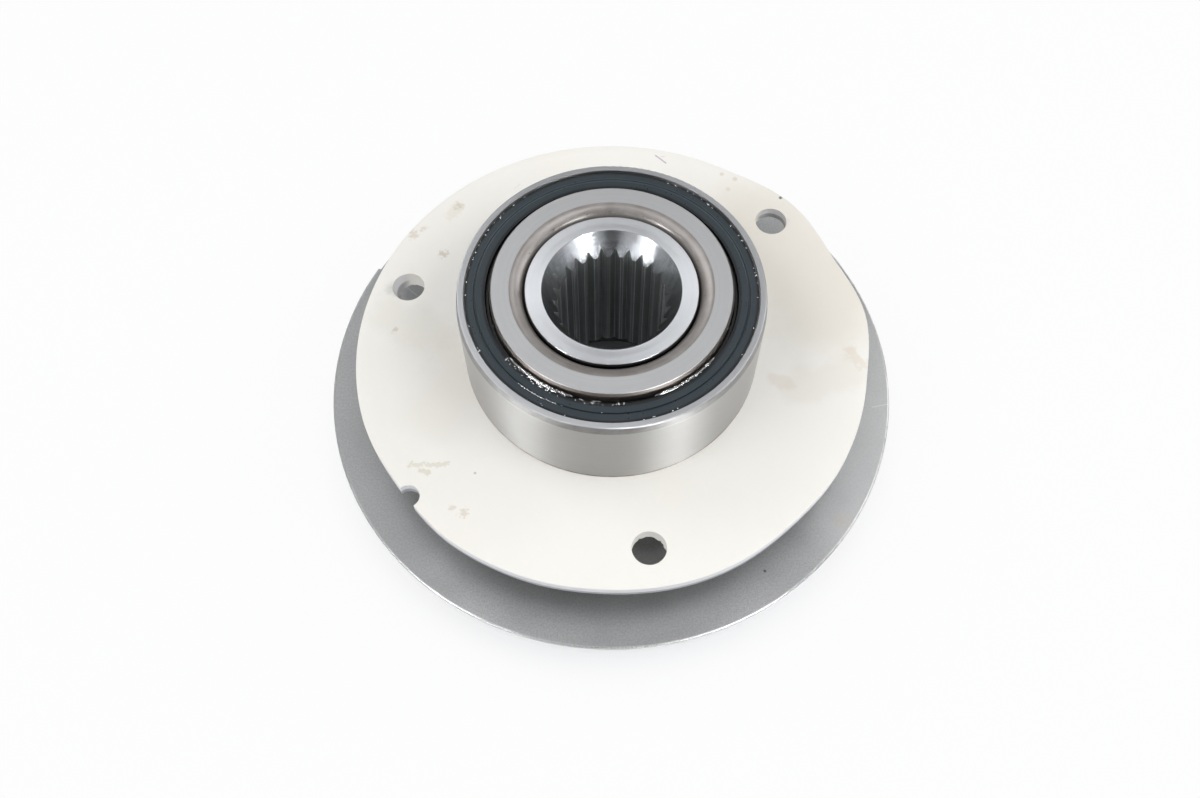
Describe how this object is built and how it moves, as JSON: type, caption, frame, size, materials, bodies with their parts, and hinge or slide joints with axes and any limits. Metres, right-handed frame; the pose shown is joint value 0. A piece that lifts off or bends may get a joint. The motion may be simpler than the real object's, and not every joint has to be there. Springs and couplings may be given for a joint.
{
  "type": "wheel hub bearing",
  "caption": "Splined wheel hub on a sealed two-row ball bearing, with a white cover disc round the outer ring and a thin steel dust shield on the hub.",
  "frame": {"origin": "centre of the wheel pilot's end, the lowest plane, on the bearing axis", "axes": "+Z along the bearing axis towards the drive shaft (inboard) side; +X to the right in the picture's view"},
  "size_m": [0.16, 0.16, 0.068],
  "materials": {
    "hub_steel": "turned",
    "ring_steel": "ground",
    "sheet_steel": "plain sheet",
    "ball_steel": "polished",
    "shield_steel": "matte satin",
    "seal_rubber": "smooth",
    "cage_nylon": "moulded",
    "cover_plastic": "matte"
  },
  "bodies": {
    "outer_ring_set": {"outer_ring": "ring_steel", "seal_core_inboard": "sheet_steel", "seal_core_outboard": "sheet_steel", "seal_inboard": "seal_rubber", "seal_outboard": "seal_rubber", "cover_disc": "cover_plastic"},
    "hub_set": {"wheel_hub": "hub_steel", "inner_ring_inboard": "ring_steel", "inner_ring_outboard": "ring_steel", "inner_ring_clip": "sheet_steel", "dust_shield": "shield_steel"},
    "inboard_row": {"cage_inboard": "cage_nylon", "ball_inboard_01": "ball_steel", "ball_inboard_02": "ball_steel", "ball_inboard_03": "ball_steel", "ball_inboard_04": "ball_steel", "ball_inboard_05": "ball_steel", "ball_inboard_06": "ball_steel", "ball_inboard_07": "ball_steel", "ball_inboard_08": "ball_steel", "ball_inboard_09": "ball_steel", "ball_inboard_10": "ball_steel", "ball_inboard_11": "ball_steel", "ball_inboard_12": "ball_steel", "ball_inboard_13": "ball_steel", "ball_inboard_14": "ball_steel"},
    "outboard_row": {"cage_outboard": "cage_nylon", "ball_outboard_01": "ball_steel", "ball_outboard_02": "ball_steel", "ball_outboard_03": "ball_steel", "ball_outboard_04": "ball_steel", "ball_outboard_05": "ball_steel", "ball_outboard_06": "ball_steel", "ball_outboard_07": "ball_steel", "ball_outboard_08": "ball_steel", "ball_outboard_09": "ball_steel", "ball_outboard_10": "ball_steel", "ball_outboard_11": "ball_steel", "ball_outboard_12": "ball_steel", "ball_outboard_13": "ball_steel", "ball_outboard_14": "ball_steel"}
  },
  "joints": [
    {"name": "hub_spin", "type": "hinge", "parent": "outer_ring_set", "child": "hub_set", "pos_m": [0, 0, 0.0455], "axis": [0, 0, 1], "continuous": true},
    {"name": "inboard_row_spin", "type": "hinge", "parent": "outer_ring_set", "child": "inboard_row", "pos_m": [0, 0, 0.055], "axis": [0, 0, 1], "continuous": true},
    {"name": "outboard_row_spin", "type": "hinge", "parent": "outer_ring_set", "child": "outboard_row", "pos_m": [0, 0, 0.036], "axis": [0, 0, 1], "continuous": true}
  ],
  "couplings": [
    {"joint": "inboard_row_spin", "follows": "hub_spin", "ratio": 0.42298},
    {"joint": "outboard_row_spin", "follows": "hub_spin", "ratio": 0.42298}
  ]
}
